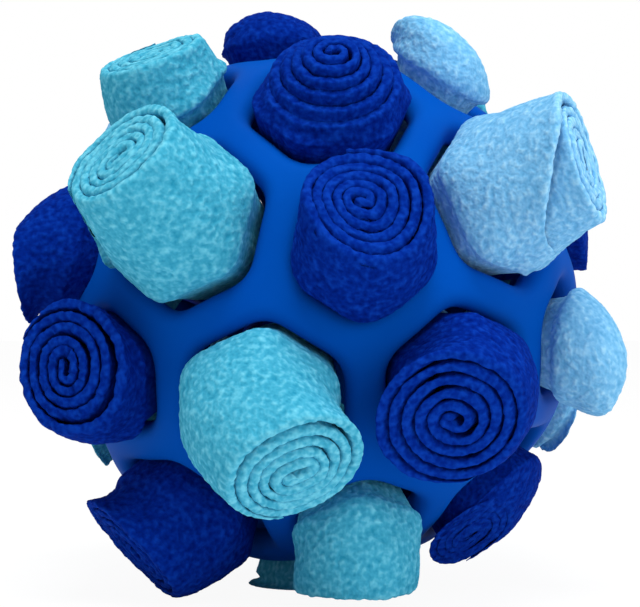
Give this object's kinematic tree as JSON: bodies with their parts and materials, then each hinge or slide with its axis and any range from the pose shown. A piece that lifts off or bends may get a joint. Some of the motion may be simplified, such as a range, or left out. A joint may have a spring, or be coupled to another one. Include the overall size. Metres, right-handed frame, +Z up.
{
  "type": "snuffle ball toy",
  "caption": "Openwork rubber ball with a rolled strip of fleece pushed into every hole, so that treats hide in its hollow core and in the rolls.",
  "frame": {"origin": "on the floor, under the centre of the ball", "axes": "+Z up, -Y towards the side that the picture shows, +X to the right as seen from there"},
  "size_m": [0.1437, 0.1638, 0.1289],
  "materials": {
    "rubber": "satin moulded rubber",
    "fleece_front_middle": "royal blue double-sided fleece",
    "fleece_front_top": "royal blue double-sided fleece",
    "fleece_front_left": "turquoise double-sided fleece",
    "fleece_front_low": "turquoise double-sided fleece",
    "fleece_front_low_right": "royal blue double-sided fleece",
    "fleece_front_right": "light blue double-sided fleece",
    "fleece_top_left": "turquoise double-sided fleece",
    "fleece_top_right": "light blue double-sided fleece",
    "fleece_top": "royal blue double-sided fleece",
    "fleece_left": "royal blue double-sided fleece",
    "fleece_left_low": "royal blue double-sided fleece",
    "fleece_right": "light blue double-sided fleece",
    "fleece_right_high": "royal blue double-sided fleece",
    "fleece_right_back_low": "light blue double-sided fleece",
    "fleece_bottom_right": "royal blue double-sided fleece",
    "fleece_bottom_front": "turquoise double-sided fleece",
    "fleece_bottom_left": "royal blue double-sided fleece",
    "fleece_bottom": "turquoise double-sided fleece",
    "fleece_left_under": "turquoise double-sided fleece",
    "fleece_top_back_left": "light blue double-sided fleece",
    "fleece_top_back": "light blue double-sided fleece",
    "fleece_top_back_right": "turquoise double-sided fleece",
    "fleece_left_back": "turquoise double-sided fleece",
    "fleece_right_back": "turquoise double-sided fleece",
    "fleece_back_left_high": "royal blue double-sided fleece",
    "fleece_back_high": "turquoise double-sided fleece",
    "fleece_back": "royal blue double-sided fleece",
    "fleece_back_left_low": "light blue double-sided fleece",
    "fleece_back_right_low": "light blue double-sided fleece",
    "fleece_bottom_back_left": "royal blue double-sided fleece",
    "fleece_bottom_back_right": "royal blue double-sided fleece",
    "fleece_bottom_back": "turquoise double-sided fleece"
  },
  "bodies": {
    "ball": {"rubber_ball": "rubber"},
    "roll_front_middle": {"fleece_roll_front_middle": "fleece_front_middle"},
    "roll_front_top": {"fleece_roll_front_top": "fleece_front_top"},
    "roll_front_left": {"fleece_roll_front_left": "fleece_front_left"},
    "roll_front_low": {"fleece_roll_front_low": "fleece_front_low"},
    "roll_front_low_right": {"fleece_roll_front_low_right": "fleece_front_low_right"},
    "roll_front_right": {"fleece_roll_front_right": "fleece_front_right"},
    "roll_top_left": {"fleece_roll_top_left": "fleece_top_left"},
    "roll_top_right": {"fleece_roll_top_right": "fleece_top_right"},
    "roll_top": {"fleece_roll_top": "fleece_top"},
    "roll_left": {"fleece_roll_left": "fleece_left"},
    "roll_left_low": {"fleece_roll_left_low": "fleece_left_low"},
    "roll_right": {"fleece_roll_right": "fleece_right"},
    "roll_right_high": {"fleece_roll_right_high": "fleece_right_high"},
    "roll_right_back_low": {"fleece_roll_right_back_low": "fleece_right_back_low"},
    "roll_bottom_right": {"fleece_roll_bottom_right": "fleece_bottom_right"},
    "roll_bottom_front": {"fleece_roll_bottom_front": "fleece_bottom_front"},
    "roll_bottom_left": {"fleece_roll_bottom_left": "fleece_bottom_left"},
    "roll_bottom": {"fleece_roll_bottom": "fleece_bottom"},
    "roll_left_under": {"fleece_roll_left_under": "fleece_left_under"},
    "roll_top_back_left": {"fleece_roll_top_back_left": "fleece_top_back_left"},
    "roll_top_back": {"fleece_roll_top_back": "fleece_top_back"},
    "roll_top_back_right": {"fleece_roll_top_back_right": "fleece_top_back_right"},
    "roll_left_back": {"fleece_roll_left_back": "fleece_left_back"},
    "roll_right_back": {"fleece_roll_right_back": "fleece_right_back"},
    "roll_back_left_high": {"fleece_roll_back_left_high": "fleece_back_left_high"},
    "roll_back_high": {"fleece_roll_back_high": "fleece_back_high"},
    "roll_back": {"fleece_roll_back": "fleece_back"},
    "roll_back_left_low": {"fleece_roll_back_left_low": "fleece_back_left_low"},
    "roll_back_right_low": {"fleece_roll_back_right_low": "fleece_back_right_low"},
    "roll_bottom_back_left": {"fleece_roll_bottom_back_left": "fleece_bottom_back_left"},
    "roll_bottom_back_right": {"fleece_roll_bottom_back_right": "fleece_bottom_back_right"},
    "roll_bottom_back": {"fleece_roll_bottom_back": "fleece_bottom_back"}
  },
  "joints": [
    {"name": "pull_front_middle", "type": "slide", "parent": "ball", "child": "roll_front_middle", "axis": [0.14, -0.9713, 0.1925], "range_m": [0, 0.05]},
    {"name": "pull_front_top", "type": "slide", "parent": "ball", "child": "roll_front_top", "axis": [0.0495, -0.663, 0.747], "range_m": [0, 0.05]},
    {"name": "pull_front_left", "type": "slide", "parent": "ball", "child": "roll_front_left", "axis": [-0.4765, -0.8285, 0.2941], "range_m": [0, 0.05]},
    {"name": "pull_front_low", "type": "slide", "parent": "ball", "child": "roll_front_low", "axis": [-0.1903, -0.9157, -0.3538], "range_m": [0, 0.05]},
    {"name": "pull_front_low_right", "type": "slide", "parent": "ball", "child": "roll_front_low_right", "axis": [0.5126, -0.804, -0.3013], "range_m": [0, 0.05]},
    {"name": "pull_front_right", "type": "slide", "parent": "ball", "child": "roll_front_right", "axis": [0.6608, -0.6478, 0.379], "range_m": [0, 0.05]},
    {"name": "pull_top_left", "type": "slide", "parent": "ball", "child": "roll_top_left", "axis": [-0.5287, -0.3869, 0.7555], "range_m": [0, 0.05]},
    {"name": "pull_top_right", "type": "slide", "parent": "ball", "child": "roll_top_right", "axis": [0.5069, -0.2223, 0.8329], "range_m": [0, 0.05]},
    {"name": "pull_top", "type": "slide", "parent": "ball", "child": "roll_top", "axis": [-0.0735, -0.0061, 0.9973], "range_m": [0, 0.05]},
    {"name": "pull_left", "type": "slide", "parent": "ball", "child": "roll_left", "axis": [-0.9247, -0.274, 0.2644], "range_m": [0, 0.05]},
    {"name": "pull_left_low", "type": "slide", "parent": "ball", "child": "roll_left_low", "axis": [-0.7472, -0.6171, -0.2469], "range_m": [0, 0.05]},
    {"name": "pull_right", "type": "slide", "parent": "ball", "child": "roll_right", "axis": [0.9285, -0.3508, -0.1218], "range_m": [0, 0.05]},
    {"name": "pull_right_high", "type": "slide", "parent": "ball", "child": "roll_right_high", "axis": [0.9155, 0.0184, 0.4019], "range_m": [0, 0.05]},
    {"name": "pull_right_back_low", "type": "slide", "parent": "ball", "child": "roll_right_back_low", "axis": [0.9247, 0.274, -0.2644], "range_m": [0, 0.05]},
    {"name": "pull_bottom_right", "type": "slide", "parent": "ball", "child": "roll_bottom_right", "axis": [0.6756, -0.2343, -0.699], "range_m": [0, 0.05]},
    {"name": "pull_bottom_front", "type": "slide", "parent": "ball", "child": "roll_bottom_front", "axis": [0.1535, -0.5948, -0.7891], "range_m": [0, 0.05]},
    {"name": "pull_bottom_left", "type": "slide", "parent": "ball", "child": "roll_bottom_left", "axis": [-0.4617, -0.4151, -0.784], "range_m": [0, 0.05]},
    {"name": "pull_bottom", "type": "slide", "parent": "ball", "child": "roll_bottom", "axis": [0.0735, 0.0061, -0.9973], "range_m": [0, 0.05]},
    {"name": "pull_left_under", "type": "slide", "parent": "ball", "child": "roll_left_under", "axis": [-0.9155, -0.0184, -0.4019], "range_m": [0, 0.05]},
    {"name": "pull_top_back_left", "type": "slide", "parent": "ball", "child": "roll_top_back_left", "axis": [-0.6756, 0.2343, 0.699], "range_m": [0, 0.05]},
    {"name": "pull_top_back", "type": "slide", "parent": "ball", "child": "roll_top_back", "axis": [-0.1535, 0.5948, 0.7891], "range_m": [0, 0.05]},
    {"name": "pull_top_back_right", "type": "slide", "parent": "ball", "child": "roll_top_back_right", "axis": [0.4617, 0.4151, 0.784], "range_m": [0, 0.05]},
    {"name": "pull_left_back", "type": "slide", "parent": "ball", "child": "roll_left_back", "axis": [-0.9285, 0.3508, 0.1218], "range_m": [0, 0.05]},
    {"name": "pull_right_back", "type": "slide", "parent": "ball", "child": "roll_right_back", "axis": [0.7472, 0.6171, 0.2469], "range_m": [0, 0.05]},
    {"name": "pull_back_left_high", "type": "slide", "parent": "ball", "child": "roll_back_left_high", "axis": [-0.5126, 0.804, 0.3013], "range_m": [0, 0.05]},
    {"name": "pull_back_high", "type": "slide", "parent": "ball", "child": "roll_back_high", "axis": [0.1903, 0.9157, 0.3538], "range_m": [0, 0.05]},
    {"name": "pull_back", "type": "slide", "parent": "ball", "child": "roll_back", "axis": [-0.14, 0.9713, -0.1925], "range_m": [0, 0.05]},
    {"name": "pull_back_left_low", "type": "slide", "parent": "ball", "child": "roll_back_left_low", "axis": [-0.6608, 0.6478, -0.379], "range_m": [0, 0.05]},
    {"name": "pull_back_right_low", "type": "slide", "parent": "ball", "child": "roll_back_right_low", "axis": [0.4765, 0.8285, -0.2941], "range_m": [0, 0.05]},
    {"name": "pull_bottom_back_left", "type": "slide", "parent": "ball", "child": "roll_bottom_back_left", "axis": [-0.5069, 0.2223, -0.8329], "range_m": [0, 0.05]},
    {"name": "pull_bottom_back_right", "type": "slide", "parent": "ball", "child": "roll_bottom_back_right", "axis": [0.5287, 0.3869, -0.7555], "range_m": [0, 0.05]},
    {"name": "pull_bottom_back", "type": "slide", "parent": "ball", "child": "roll_bottom_back", "axis": [-0.0495, 0.663, -0.747], "range_m": [0, 0.05]}
  ]
}
